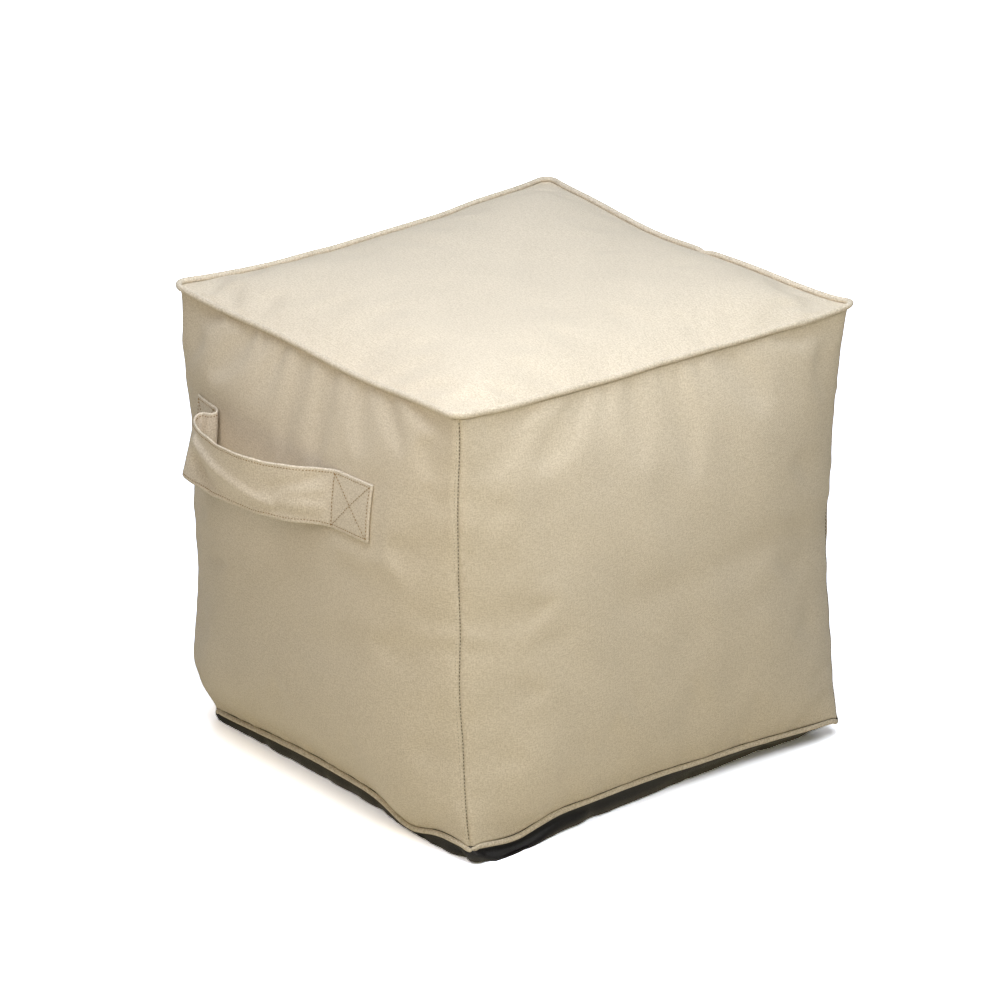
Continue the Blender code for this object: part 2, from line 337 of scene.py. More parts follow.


# folds and puckers laid one by one

# soft creases: face, its points (across, height) in metres, width, depth (under 0 is a trough),
# depth at the far end as a share of the depth at the first point
panelFolds = [
    ("right", [(0.185, 0.200), (0.135, 0.208), (0.089, 0.211), (0.024, 0.205), (-0.039, 0.200),
               (-0.125, 0.196)], 0.016, -0.0042, 0.0),
    ("right", [(0.190, 0.196), (0.150, 0.186), (0.088, 0.166), (0.050, 0.150)], 0.013, -0.0034, 0.0),
    ("right", [(0.196, 0.232), (0.150, 0.236), (0.100, 0.240)], 0.012, 0.0014, 0.0),
    ("right", [(0.170, 0.120), (0.110, 0.105), (0.040, 0.110)], 0.028, -0.0016, 0.1),
    ("right", [(-0.060, 0.060), (0.040, 0.052), (0.130, 0.060)], 0.018, 0.0012, 0.3),
    ("right", [(-0.150, 0.300), (-0.090, 0.318), (-0.030, 0.322)], 0.016, -0.0010, 0.1),
    ("front", [(0.050, 0.262), (0.087, 0.260), (0.124, 0.258), (0.165, 0.252)], 0.012, 0.0024, 0.2),
    ("front", [(0.060, 0.238), (0.110, 0.232), (0.160, 0.220)], 0.012, -0.0018, 0.1),
    ("front", [(0.005, 0.176), (0.070, 0.190), (0.130, 0.208), (0.185, 0.228)], 0.020, 0.0014, 0.5),
    ("front", [(-0.020, 0.150), (0.060, 0.160), (0.150, 0.180)], 0.020, -0.0012, 0.3),
    ("front", [(-0.150, 0.110), (-0.080, 0.095), (0.010, 0.100)], 0.022, -0.0012, 0.2),
    ("back", [(-0.150, 0.190), (-0.070, 0.202), (0.040, 0.196)], 0.018, -0.0030, 0.0),
    ("back", [(0.150, 0.250), (0.080, 0.262), (0.010, 0.256)], 0.018, -0.0020, 0.0),
    ("left", [(-0.160, 0.225), (-0.080, 0.214), (0.020, 0.220)], 0.018, -0.0028, 0.0),
    ("left", [(0.160, 0.150), (0.080, 0.164), (0.000, 0.160)], 0.018, -0.0020, 0.0),
]

# puckers across an upright seam: corner, height, how tall, how deep, how far from the seam
seamPuckers = [
    ((1, -1), 0.352, 0.008, -0.0006, 0.030), ((1, -1), 0.326, 0.007, -0.0010, 0.036),
    ((1, -1), 0.303, 0.007, 0.0008, 0.030), ((1, -1), 0.279, 0.008, -0.0011, 0.040),
    ((1, -1), 0.250, 0.010, 0.0011, 0.040), ((1, -1), 0.220, 0.008, -0.0013, 0.044),
    ((1, -1), 0.206, 0.006, 0.0008, 0.036), ((1, -1), 0.193, 0.007, -0.0011, 0.040),
    ((1, -1), 0.158, 0.010, 0.0007, 0.030), ((1, -1), 0.132, 0.008, -0.0008, 0.034),
    ((1, -1), 0.096, 0.009, -0.0006, 0.030), ((1, -1), 0.060, 0.008, -0.0008, 0.030),
]
for puckerCorner in ((1, 1), (-1, 1), (-1, -1)):
    rng = random.Random(7 + 3 * puckerCorner[0] + puckerCorner[1])
    for step in range(11):
        seamPuckers.append((
            puckerCorner, 0.050 + 0.030 * step + rng.uniform(-0.008, 0.008),
            rng.uniform(0.006, 0.010), rng.choice((-1, -1, 1)) * rng.uniform(0.0006, 0.0014),
            rng.uniform(0.026, 0.044),
        ))

# across the top and base seams, in from the seam: how many a side, how deep, how wide, how far
levelPuckers = {"count": 16, "depth": 0.0006, "width": 0.006, "reach": 0.020, "risesOver": 0.004}

puckerLook = {"slant": 0.12, "risesOver": 0.003}
# a fold starts at a share of its depth and deepens over a share of its length
foldStart = {"share": 0.35, "run": 0.12}


def alongLine(across, height, line, width):
    # 1 on the line, fading to each side; and the share of the way along it
    points = np.array(line)
    best = np.full(across.shape, 1e9)
    share = np.zeros(across.shape)
    runs = np.linalg.norm(np.diff(points, axis=0), axis=1)
    before = np.concatenate([[0], np.cumsum(runs)])
    for start, end, run, gone in zip(points[:-1], points[1:], runs, before):
        way = (end - start) / run
        t = np.clip((across - start[0]) * way[0] + (height - start[1]) * way[1], 0, run)
        gap = np.hypot(across - start[0] - t * way[0], height - start[1] - t * way[1])
        nearer = gap < best
        best = np.where(nearer, gap, best)
        share = np.where(nearer, (gone + t) / before[-1], share)
    return bell(best, width), share


def levelPuckerMove(along, fromSeam, seed):
    rng = random.Random(seed)
    move = np.zeros(along.shape)
    for step in range(levelPuckers["count"]):
        at = (step + rng.uniform(0.2, 0.8)) / levelPuckers["count"] * 2 - 1
        deep = levelPuckers["depth"] * rng.uniform(-1, 0.5)
        wide = levelPuckers["width"] / pouf["half"] * rng.uniform(0.7, 1.5)
        reach = levelPuckers["reach"] * rng.uniform(0.7, 1.6)
        rise = np.minimum(1, fromSeam / levelPuckers["risesOver"]) * np.exp(-fromSeam / reach)
        move += deep * bell(along - at, wide) * rise
    return move


def sideDetail(face, a, b, place):
    # folds and puckers of a side panel, as a move outwards
    running = {"front": place[..., 0], "right": place[..., 1],
               "back": -place[..., 0], "left": -place[..., 1]}[face]
    height = place[..., 2]
    move = np.zeros(a.shape)
    for where, line, width, depth, endShare in panelFolds:
        if where == face:
            near, share = alongLine(running, height, line, width)
            fade = 1 - share * (1 - endShare)
            move += depth * near * fade * np.clip(share / foldStart["run"], foldStart["share"], 1)
    fromSeam = (1 - np.abs(a)) * pouf["half"]
    u, v, _ = faceUvw(face, np.sign(a), b)
    for (cu, cv), at, tall, deep, reach in seamPuckers:
        here = (u == cu) & (v == cv)
        slant = puckerLook["slant"] * fromSeam
        line = bell(height - (at - slant), tall + slant)
        rise = np.minimum(1, fromSeam / puckerLook["risesOver"]) * np.exp(-fromSeam / reach)
        move += np.where(here, deep * line * rise, 0)
    seed = sides.index(face)
    move += levelPuckerMove(a, (1 - b) * pouf["half"], 11 + seed)
    move += levelPuckerMove(a, (1 + b) * pouf["half"], 21 + seed)
    return move


# the filled sides, closed under the top panel and over the base

filledSides = {
    "nearSeam": (0, 0.0005, 0.0011, 0.0019, 0.0030, 0.0045, 0.0065, 0.0090),
    "step": 0.0036,
    "grooveDepth": 0.0015,    # the seam pulls the cloth in
    "grooveWidth": 0.0034,
    "edgeRoll": 0.0018,       # over which the cloth turns in under the piping
    "foldsFrom": 0.004,       # over which folds and puckers start at an upright seam
    "slackFrom": 0.055,       # and the settled wrinkles
}

topPanel = {
    "nearSeam": (0, 0.0008, 0.0018, 0.0032, 0.0050, 0.0075),
    "step": 0.0036,
    "flat": 0.410,            # cut square, with no seam allowance
    "settledShare": 0.8,
    "looseOver": 0.010,
    # folds that run in from a corner: from, to, width, depth
    "cornerFolds": [
        ((0.198, 0.196), (0.130, 0.168), 0.006, -0.0012),
        ((0.196, 0.200), (0.158, 0.120), 0.006, -0.0010),
        ((0.196, -0.196), (0.150, -0.150), 0.008, -0.0008),
        ((-0.198, 0.196), (-0.150, 0.150), 0.007, -0.0010),
        ((-0.198, -0.196), (-0.140, -0.160), 0.007, -0.0010),
    ],
}

strap = {
    "width": 0.0485,
    "thick": 0.0021,
    "middle": 0.2925,         # height of its centre line
    "leftRaise": 0.0036,      # and how much higher it is sewn on at its left end
    "lift": 0.0005,           # between the sewn ends and the panel
    "steps": 12,
    "columns": 34,
    "uprightAt": 0.020,       # past this stand-off it no longer leans with the panel
    "edgeGroove": 0.0026,     # the topstitching's distance from each edge
    "flatLength": 0.330,      # cut length between its two ends
    "patches": ((-0.160, -0.112), (0.050, 0.110)),    # where its ends lie sewn down
    "patchFade": 0.012,
    "raiseTo": 0.15,          # the left end's raise is whole from here outwards
    "raiseFades": 0.026,      # and gone at this stand-off
    "evenShare": 0.65,        # how evenly its columns are spaced
    "endRound": 0.0016,
    "edgeRound": 0.0014,
    "grooveWidth": 0.0008,
    "grooveShare": 0.32,      # what the topstitching takes off its thickness
    "waves": ((0.0003, 120, 0), (0.0002, 210, 1)),    # of its free edges: size, turn, phase
}


def lift(near, width):
    return (1 - ramp(near, width)) ** 2


def earMove(u, v, near):
    # the corners of the top seam turn up and out a little, with the cord
    away = (1 - np.minimum(np.abs(u), np.abs(v))) / topPiping["earReach"]
    raised = topPiping["ear"] * np.exp(-away**2) * lift(near, topPiping["earRoll"])
    out = topPiping["earOut"] * raised
    return np.stack([out * np.sign(u), out * np.sign(v), topPiping["earUp"] * raised], -1)


def patchHold(face, place):
    # the strap's sewn ends keep the cloth under them flat
    if face != "front":
        return 1.0
    free = np.ones(place.shape[:-1])
    for left, right in strap["patches"]:
        outX = np.maximum(0, np.maximum(left - place[..., 0], place[..., 0] - right))
        outZ = np.maximum(0, np.abs(place[..., 2] - strap["middle"]) - strap["width"] / 2)
        free *= 1 - bell(np.hypot(outX, outZ), strap["patchFade"])
    return free


def sideGrid(face, lines):
    a, b = gridOf(lines)
    place = cover(*faceUvw(face, a, b))
    outward = normalsOf(place)
    free = patchHold(face, place)
    half = pouf["half"]
    fromUpright, fromTop, fromBase = (1 - np.abs(a)) * half, (1 - b) * half, (1 + b) * half
    fromLevel = np.minimum(fromTop, fromBase)
    loose = ease(ramp(fromLevel, filledSides["edgeRoll"]))
    settled = settledMove(face, lines)
    groove = filledSides["grooveDepth"] * lift(fromUpright, filledSides["grooveWidth"])
    move = sideDetail(face, a, b, place) * ramp(fromUpright, filledSides["foldsFrom"]) - groove
    # the tight upright seams hardly give
    slack = ease(ramp(fromUpright, filledSides["slackFrom"])) * loose * free
    place = place + settled * slack[..., None]
    place += outward * (move * loose * free)[..., None]
    for near, level in ((fromTop, 1), (fromBase, -1)):
        tuck = (pouf["clothThickness"] + pouf["gap"]) * lift(near, filledSides["edgeRoll"])
        place[..., :2] *= (1 - tuck / half)[..., None]
        place[..., 2] -= level * tuck
    u, v, _ = faceUvw(face, a, b)
    return place + earMove(u, v, fromTop)


def tucked(place, depth, level):
    # the same place further in, by the rule of its solid
    inner = place * (1 - depth / pouf["half"])
    inner[..., 2] = place[..., 2] - level * depth
    return inner


def topGrid(lines):
    # the outside of the top panel
    a, b = gridOf(lines)
    place = cover(*faceUvw("top", a, b))
    outward = normalsOf(place)
    fromEdge = (1 - np.maximum(np.abs(a), np.abs(b))) * pouf["half"]
    loose = ramp(fromEdge, topPanel["looseOver"])
    move = np.zeros(a.shape)
    for number, (along, near) in enumerate(((a, 1 - b), (a, 1 + b), (b, 1 - a), (b, 1 + a))):
        move += levelPuckerMove(along, near * pouf["half"], 31 + number)
    for (x, y), (toX, toY), width, deep in topPanel["cornerFolds"]:
        near, share = alongLine(place[..., 0], place[..., 1], [(x, y), (toX, toY)], width)
        move += deep * near * (1 - share)
    settled = topPanel["settledShare"] * settledMove("top", lines)
    place = place + (outward * move[..., None] + settled) * loose[..., None]
    return place + earMove(a, b, fromEdge)


def makeFilledSides():
    lines = spacedLines(filledSides["nearSeam"], filledSides["step"])
    grids = {face: sideGrid(face, lines) for face in sides}
    depth = pouf["clothThickness"] + pouf["gap"]
    grids["top"] = tucked(topGrid(lines), depth, 1)
    grids["base"] = tucked(basePlaces(lines, inwardsOnly=True), depth, -1)
    places, quads, uvs, _ = weldFaces(grids, lines)
    return meshOf("filledSides", places, quads, uvs)


def closeSheet(name, outer, inner, lines):
    # a sheet with thickness from its two faces, with a rim between them
    n = len(lines)
    ids = np.arange(n * n).reshape(n, n)
    ring = np.concatenate([ids[:-1, 0], ids[-1, :-1], ids[:0:-1, -1], ids[0, :0:-1]])
    step = np.roll(ring, -1)
    rim = np.stack([ring, ring + n * n, step + n * n, step], -1)
    quads = np.concatenate([facesOf(ids), facesOf(ids + n * n)[:, ::-1], rim])
    a, b = gridOf(lines)
    flat = np.tile(np.stack([a, b], -1).reshape(-1, 2) * pouf["half"], (2, 1))
    places = np.concatenate([outer.reshape(-1, 3), inner.reshape(-1, 3)])
    return meshOf(name, places, quads, flat[quads].reshape(-1, 2))


def makeTopPanel():
    lines = spacedLines(topPanel["nearSeam"], topPanel["step"])
    outer = topGrid(lines)
    return closeSheet("topPanelCloth", outer, tucked(outer, pouf["clothThickness"], 1), lines)


# the base panel: thin black cloth that stands out from under the front corner

basePanel = {
    "nearSeam": (0, 0.0012, 0.0024, 0.0036, 0.0050, 0.0066, 0.0085, 0.0110, 0.0140, 0.0180, 0.0230),
    "step": 0.0060,
    "thickness": 0.0016,
    "wallFrom": 0.0016,       # the wall under the piping starts here, in from the seam
    "wallRun": 0.0058,        # and has come down to the floor here
    "settles": 0.030,         # over which it lies flat again
    "ripple": 0.0006,
    "flat": 0.408,            # cut square
    # how far the foot stands out, along each side: place in metres, stand-off
    "feet": {
        "front": [(-0.200, 0.005), (-0.143, 0.003), (-0.100, 0.003), (0.040, 0.002),
                  (0.074, 0.002), (0.125, 0.004), (0.165, 0.005), (0.200, -0.002)],
        "right": [(-0.200, 0.012), (-0.155, 0.014), (-0.111, 0.009), (0.000, 0.002),
                  (0.100, -0.007), (0.200, -0.012)],
        "back": [(-0.200, -0.006), (0.200, -0.006)],
        "left": [(-0.200, 0.005), (-0.130, -0.004), (0.200, -0.006)],
    },
    # pleats of the foot: side, place, width, how far in
    "pleats": [
        ("front", 0.169, 0.0035, 0.0050), ("front", 0.181, 0.0060, -0.0020),
        ("front", 0.128, 0.0060, 0.0020), ("front", 0.060, 0.0050, 0.0022),
        ("front", -0.020, 0.0060, 0.0018), ("front", -0.110, 0.0050, 0.0020),
        ("right", -0.186, 0.0045, 0.0030), ("right", -0.150, 0.0060, 0.0018),
        ("right", -0.070, 0.0060, 0.0020), ("right", 0.040, 0.0050, 0.0020),
        ("right", 0.120, 0.0060, 0.0022),
    ],
}


def footMove(side, along):
    feet = np.array(basePanel["feet"][side])
    move = np.interp(along, feet[:, 0], feet[:, 1])
    for where, at, width, deep in basePanel["pleats"]:
        if where == side:
            move = move - deep * bell(along - at, width)
    rng = random.Random(len(side) + 40)
    for waves in (17, 29, 41):
        move = move + basePanel["ripple"] * rng.uniform(0.4, 1.0) * np.sin(
            waves * along / pouf["half"] + rng.uniform(0, 6.28))
    return move


def basePlaces(lines, inwardsOnly=False):
    # the outside of the base, its foot moved in and out along each side
    a, b = gridOf(lines)
    u, v, w = faceUvw("base", a, b)
    outer = cover(u, v, w)
    fromSeam = (1 - np.maximum(np.abs(a), np.abs(b))) * pouf["half"]
    start, end = basePanel["wallFrom"], basePanel["wallRun"]
    rise = ease(ramp(fromSeam - start, end - start))
    for side, sign, across, column in (
        ("front", -1, v, 1), ("right", 1, u, 0), ("back", 1, v, 1), ("left", -1, u, 0),
    ):
        past = np.maximum(0, (1 - sign * across) * pouf["half"] - end) / basePanel["settles"]
        move = footMove(side, outer[..., 1 - column])
        if inwardsOnly:
            move = np.minimum(0, move)
        outer[..., column] += sign * move * rise * np.exp(-past**2)
    return outer


def makeBasePanel():
    lines = spacedLines(basePanel["nearSeam"], basePanel["step"])
    outer = basePlaces(lines)
    inner = outer - normalsOf(outer) * basePanel["thickness"]
    inner[..., 2] = np.maximum(inner[..., 2], basePanel["thickness"])
    return closeSheet("basePanelCloth", outer, inner, lines)


# trees of Geometry Nodes and what they grow on

def newTree(name, inputs):
    tree = bpy.data.node_groups.new(name, "GeometryNodeTree")
    tree.interface.new_socket("Geometry", in_out="INPUT", socket_type="NodeSocketGeometry")
    for label, (kind, value) in inputs.items():
        socket = tree.interface.new_socket(label, in_out="INPUT", socket_type="NodeSocket" + kind)
        if value is not None:
            socket.default_value = value
    tree.interface.new_socket("Geometry", in_out="OUTPUT", socket_type="NodeSocketGeometry")
    return tree, tree.nodes.new("NodeGroupInput"), tree.nodes.new("NodeGroupOutput")


def plug(tree, node, values):
    # a value is a socket, a node for its first socket, or a plain setting
    for name, value in values.items():
        if isinstance(value, bpy.types.Node):
            value = value.outputs[0]
        if isinstance(value, bpy.types.NodeSocket):
            tree.links.new(value, node.inputs[name])
        else:
            node.inputs[name].default_value = value


def addNode(tree, kind, inputs=None, **settings):
    node = tree.nodes.new(kind)
    for name, value in settings.items():
        setattr(node, name, value)
    plug(tree, node, inputs or {})
    return node


def mathNode(tree, operation, *values):
    return addNode(tree, "ShaderNodeMath", dict(enumerate(values)), operation=operation).outputs[0]


def pathObject(name, routes, closed=False):
    # bare edges for a tree to follow, one chain for each route
    verts, edges = [], []
    for route in routes:
        start = len(verts)
        verts += [tuple(place) for place in route]
        edges += [(i, i + 1) for i in range(start, len(verts) - 1)]
        if closed:
            edges.append((len(verts) - 1, start))
    mesh = bpy.data.meshes.new(name + "Path")
    mesh.from_pydata(verts, edges, [])
    made = bpy.data.objects.new(name, mesh)
    bpy.context.scene.collection.objects.link(made)
    return made


def grow(guide, tree, values):
    # runs the tree on the guide and keeps the result as a plain mesh
    name = guide.name
    modifier = guide.modifiers.new(tree.name, "NODES")
    modifier.node_group = tree
    for socket in tree.interface.items_tree:
        if socket.in_out == "INPUT" and socket.name in values:
            modifier[socket.identifier] = values[socket.name]
    depsgraph = bpy.context.evaluated_depsgraph_get()
    mesh = bpy.data.meshes.new_from_object(guide.evaluated_get(depsgraph), depsgraph=depsgraph)
    guide.modifiers.clear()
    bpy.data.objects.remove(guide)
    mesh.name = name
    made = bpy.data.objects.new(name, mesh)
    bpy.context.scene.collection.objects.link(made)
    print(name, "grown:", len(mesh.polygons), "faces")
    return made


def cordTree():
    tree, source, result = newTree("coveredCord", {
        "Radius Out": ("Float", 0.0027), "Radius Up": ("Float", 0.0027), "Sides": ("Int", 14),
        "Wander": ("Float", 0.0004), "Lumps": ("Float", 0.04), "Lump Size": ("Float", 60.0),
        "Seed": ("Float", 0.0), "Material": ("Material", None),
    })
    out = source.outputs
    curve = addNode(tree, "GeometryNodeMeshToCurve", {"Mesh": out["Geometry"]})
    wander = addNode(tree, "ShaderNodeTexNoise", {
        "W": out["Seed"], "Scale": out["Lump Size"], "Detail": 2.0}, noise_dimensions="4D")
    middle = addNode(tree, "ShaderNodeVectorMath", {
        0: wander.outputs["Color"], 1: (0.5, 0.5, 0.5)}, operation="SUBTRACT")
    shift = addNode(tree, "ShaderNodeVectorMath", {
        0: middle, "Scale": out["Wander"]}, operation="SCALE")
    moved = addNode(tree, "GeometryNodeSetPosition", {
        "Geometry": curve.outputs["Curve"], "Offset": shift})
    upright = addNode(tree, "GeometryNodeSetCurveNormal", {"Curve": moved}, mode="Z_UP")
    lumps = addNode(tree, "ShaderNodeTexNoise", {
        "W": out["Seed"], "Scale": out["Lump Size"], "Detail": 3.0}, noise_dimensions="4D")
    share = mathNode(tree, "SUBTRACT", lumps.outputs["Fac"], 0.5)
    swell = mathNode(tree, "MULTIPLY_ADD", share, out["Lumps"], 1.0)
    thick = addNode(tree, "GeometryNodeSetCurveRadius", {
        "Curve": upright, "Radius": swell})
    ring = addNode(tree, "GeometryNodeCurvePrimitiveCircle", {"Resolution": out["Sides"], "Radius": 1.0})
    size = addNode(tree, "ShaderNodeCombineXYZ", {
        "X": out["Radius Out"], "Y": out["Radius Up"], "Z": 1.0})
    section = addNode(tree, "GeometryNodeTransform", {
        "Geometry": ring.outputs["Curve"], "Scale": size})
    radius = addNode(tree, "GeometryNodeInputRadius")
    tube = addNode(tree, "GeometryNodeCurveToMesh", {
        "Curve": thick, "Profile Curve": section, "Scale": radius, "Fill Caps": True})
    smooth = addNode(tree, "GeometryNodeSetShadeSmooth", {"Geometry": tube})
    real = addNode(tree, "GeometryNodeRealizeInstances", {"Geometry": smooth})
    finish = addNode(tree, "GeometryNodeSetMaterial", {
        "Geometry": real, "Material": out["Material"]})
    tree.links.new(finish.outputs[0], result.inputs[0])
    return tree


def stitchTree():
    tree, source, result = newTree("stitches", {
        "Pitch": ("Float", 0.003), "Stitch Length": ("Float", 0.0024),
        "Thread Radius": ("Float", 0.0003), "Crooked": ("Float", 0.12),
        "Wander": ("Float", 0.0001), "Seed": ("Int", 1), "Material": ("Material", None),
    })
    out = source.outputs
    curve = addNode(tree, "GeometryNodeMeshToCurve", {"Mesh": out["Geometry"]})
    spots = addNode(tree, "GeometryNodeResampleCurve", {
        "Curve": curve.outputs["Curve"], "Length": out["Pitch"]}, mode="LENGTH")
    tangent = addNode(tree, "GeometryNodeInputTangent")
    turn = addNode(tree, "FunctionNodeAlignRotationToVector", {
        "Vector": tangent}, axis="X")
    low = mathNode(tree, "MULTIPLY", out["Crooked"], -1.0)
    lean = addNode(tree, "FunctionNodeRandomValue", {
        2: low, 3: out["Crooked"], "Seed": out["Seed"]}, data_type="FLOAT")
    leanAll = addNode(tree, "ShaderNodeCombineXYZ", {"Y": lean.outputs[1], "Z": lean.outputs[1]})
    crooked = addNode(tree, "FunctionNodeRotateRotation", {
        "Rotation": turn, "Rotate By": leanAll}, rotation_space="LOCAL")
    length = mathNode(tree, "MULTIPLY", out["Stitch Length"], 0.5)
    size = addNode(tree, "ShaderNodeCombineXYZ", {
        "X": length, "Y": out["Thread Radius"], "Z": out["Thread Radius"]})
    ball = addNode(tree, "GeometryNodeMeshUVSphere", {"Segments": 6, "Rings": 6, "Radius": 1.0})
    eased = addNode(tree, "GeometryNodeTransform", {"Geometry": ball.outputs["Mesh"],
                    "Rotation": (0.0, math.pi / 2, 0.0)})
    thread = addNode(tree, "GeometryNodeTransform", {
        "Geometry": eased, "Scale": size})
    least = mathNode(tree, "MULTIPLY", out["Wander"], -1.0)
    lowest = addNode(tree, "ShaderNodeCombineXYZ", dict.fromkeys("XYZ", least))
    highest = addNode(tree, "ShaderNodeCombineXYZ", dict.fromkeys("XYZ", out["Wander"]))
    jitter = addNode(tree, "FunctionNodeRandomValue", {
        0: lowest, 1: highest, "Seed": out["Seed"]}, data_type="FLOAT_VECTOR")
    moved = addNode(tree, "GeometryNodeSetPosition", {
        "Geometry": spots, "Offset": jitter})
    placed = addNode(tree, "GeometryNodeInstanceOnPoints", {
        "Points": moved, "Instance": thread, "Rotation": crooked})
    real = addNode(tree, "GeometryNodeRealizeInstances", {"Geometry": placed})
    smooth = addNode(tree, "GeometryNodeSetShadeSmooth", {"Geometry": real})
    finish = addNode(tree, "GeometryNodeSetMaterial", {
        "Geometry": smooth, "Material": out["Material"]})
    tree.links.new(finish.outputs[0], result.inputs[0])
    return tree


# covered cord in the seams round the top and the base

topPiping = {
    "radiusOut": 0.00275, "radiusUp": 0.00265, "out": 0.62, "up": 0.82, "stand": 0.0024,
    "ear": 0.0015, "earReach": 0.10, "earOut": 0.5, "earUp": 1.0, "level": 1, "joint": (0.095, 1.0),
    "earRoll": 0.014,         # how far in from the seam the cloth goes with it
    "wander": 0.0006, "lumps": 0.20, "lumpSize": 55.0, "seed": 3.0,
}
basePiping = {
    "radiusOut": 0.0021, "radiusUp": 0.0023, "out": 0.70, "up": -0.36, "stand": 0.0023,
    "ear": -0.0026, "earReach": 0.10, "earOut": 1.0, "earUp": 0.3, "level": -1, "joint": (-0.3, 1.0),
    "wander": 0.0007, "lumps": 0.24, "lumpSize": 45.0, "seed": 8.0,
}
cordLines = {
    "nearSeam": (0, 0.0014, 0.0028, 0.0042, 0.0056, 0.0072, 0.0090, 0.0110, 0.0140), "step": 0.004,
}
# the two ends turn in to the seam
cordJoint = {"reach": 0.007, "depth": 0.0026, "overlap": 2, "inShare": 0.8, "upShare": 0.6}


def levelOutward(u, v):
    rho = pouf["cornerRadius"] / pouf["half"]
    p = np.copysign(np.maximum(0, (np.abs(u) - (1 - rho)) / rho), u)
    q = np.copysign(np.maximum(0, (np.abs(v) - (1 - rho)) / rho), v)
    way = np.stack([p, q, np.zeros_like(p)], -1)
    return way / np.linalg.norm(way, axis=-1, keepdims=True)


def cordRoute(look):
    t = spacedLines(cordLines["nearSeam"], cordLines["step"])[:-1]
    one = np.ones_like(t)
    u = np.concatenate([t, one, -t, -one])
    v = np.concatenate([-one, t, one, -t])
    start = int(np.argmin(np.hypot(u - look["joint"][0], v - look["joint"][1])))
    u, v = np.roll(u, -start), np.roll(v, -start)
    u, v = (np.concatenate([s, s[:cordJoint["overlap"]]]) for s in (u, v))
    side = levelOutward(u, v)
    up = np.array([0.0, 0.0, 1.0])
    fromCorner = (1 - np.minimum(np.abs(u), np.abs(v))) / look["earReach"]
    raised = (look["ear"] * np.exp(-fromCorner**2))[:, None]
    route = cover(u, v, np.full_like(u, look["level"]))
    route = route + look["stand"] * (look["out"] * side + look["up"] * up)
    route = route + raised * (look["earOut"] * side + look["earUp"] * up)
    gone = lengthAlong(route)
    fromEnd = np.minimum(gone, gone[-1] - gone) / cordJoint["reach"]
    turnIn = (cordJoint["depth"] * np.exp(-fromEnd**2))[:, None]
    return route - turnIn * (cordJoint["inShare"] * side + cordJoint["upShare"] * look["level"] * up)


def makePiping(name, look, tree, finish):
    return grow(pathObject(name, [cordRoute(look)]), tree, {
        "Radius Out": look["radiusOut"], "Radius Up": look["radiusUp"], "Sides": 14,
        "Wander": look["wander"], "Lumps": look["lumps"], "Lump Size": look["lumpSize"],
        "Seed": look["seed"], "Material": finish,
    })


# the carry strap

# seen from above, left end to right end: x, stand-off from the panel, how far the lower edge stands out
strapRoute = [
    (-0.155, 0.000, 0.000), (-0.137, 0.000, 0.000), (-0.120, 0.000, 0.000), (-0.1125, 0.004, 0.001),
    (-0.114, 0.011, 0.006), (-0.1215, 0.017, 0.014), (-0.1215, 0.025, 0.017), (-0.109, 0.031, 0.011),
    (-0.084, 0.035, 0.004), (-0.057, 0.038, 0.001), (-0.023, 0.035, -0.002), (0.002, 0.027, 0.001),
    (0.024, 0.018, 0.003), (0.042, 0.007, 0.001), (0.056, 0.001, 0.000), (0.067, 0.000, 0.000),
    (0.086, 0.000, 0.000), (0.106, 0.000, 0.000),
]
loopRows = {"from": 6.5, "fadeIn": 0.8, "to": 14.0, "fadeOut": 1.2}     # the loop's outer run

# soft creases of the loop: from x and share of the width, to the same, width, depth
strapCreases = [
    (-0.098, 0.52, 0.004, -0.52, 0.0042, 0.0040), (-0.104, -0.25, -0.024, -0.98, 0.0105, -0.0046),
    (-0.070, 0.80, 0.000, 0.10, 0.0100, -0.0010), (0.046, 0.70, 0.004, 0.10, 0.0050, -0.0013),
    (0.048, -0.35, 0.000, -0.30, 0.0050, 0.0014), (0.044, -0.80, -0.010, -0.66, 0.0045, -0.0014),
    (0.046, 0.20, 0.018, 0.02, 0.0045, 0.0008), (-0.095, -0.10, -0.075, -0.90, 0.0060, -0.0012),
]


def panelDepth(x, z):
    # y of the front panel at x and z
    u, w = x / pouf["half"], z / pouf["half"] - 1
    for _ in range(8):
        place = cover(u, -1.0, w)
        u = u + (x - place[..., 0]) / pouf["half"]
        w = w + (z - place[..., 2]) / pouf["half"]
    return cover(u, -1.0, w)[..., 1]


def strapMiddle(x, stand, tilt, across):
    # middle of its thickness; across runs from -1, the lower edge, to 1
    raised = strap["leftRaise"] * ramp(-x, strap["raiseTo"]) * (1 - ramp(stand, strap["raiseFades"]))
    z = strap["middle"] + raised + across * strap["width"] / 2
    middle = panelDepth(x, np.full_like(x, strap["middle"]))
    lean = (panelDepth(x, z) - middle) * np.maximum(0, 1 - stand / strap["uprightAt"])
    y = middle + lean - stand - strap["lift"] - strap["thick"] / 2 + tilt * across / 2
    return np.stack([x, y, z], -1)


def smoothRoute(rows, steps):
    # Catmull-Rom curve through the rows, with the row number as a last column
    rows = np.column_stack([np.array(rows), np.arange(len(rows))])
    rows = np.vstack([rows[:1], rows, rows[-1:]])
    rows[0, -1], rows[-1, -1] = -1, len(rows) - 2
    route = []
    t = np.arange(steps)[:, None] / steps
    for p, q, r, s in zip(rows, rows[1:], rows[2:], rows[3:]):
        route.append(0.5 * (2 * q + (r - p) * t + (2 * p - 5 * q + 4 * r - s) * t**2
                            + (3 * q - p - 3 * r + s) * t**3))
    return np.vstack(route + [rows[-2:-1]])


def roundOver(distance, reach):
    return np.sqrt(1 - (1 - ramp(distance, reach)) ** 2)


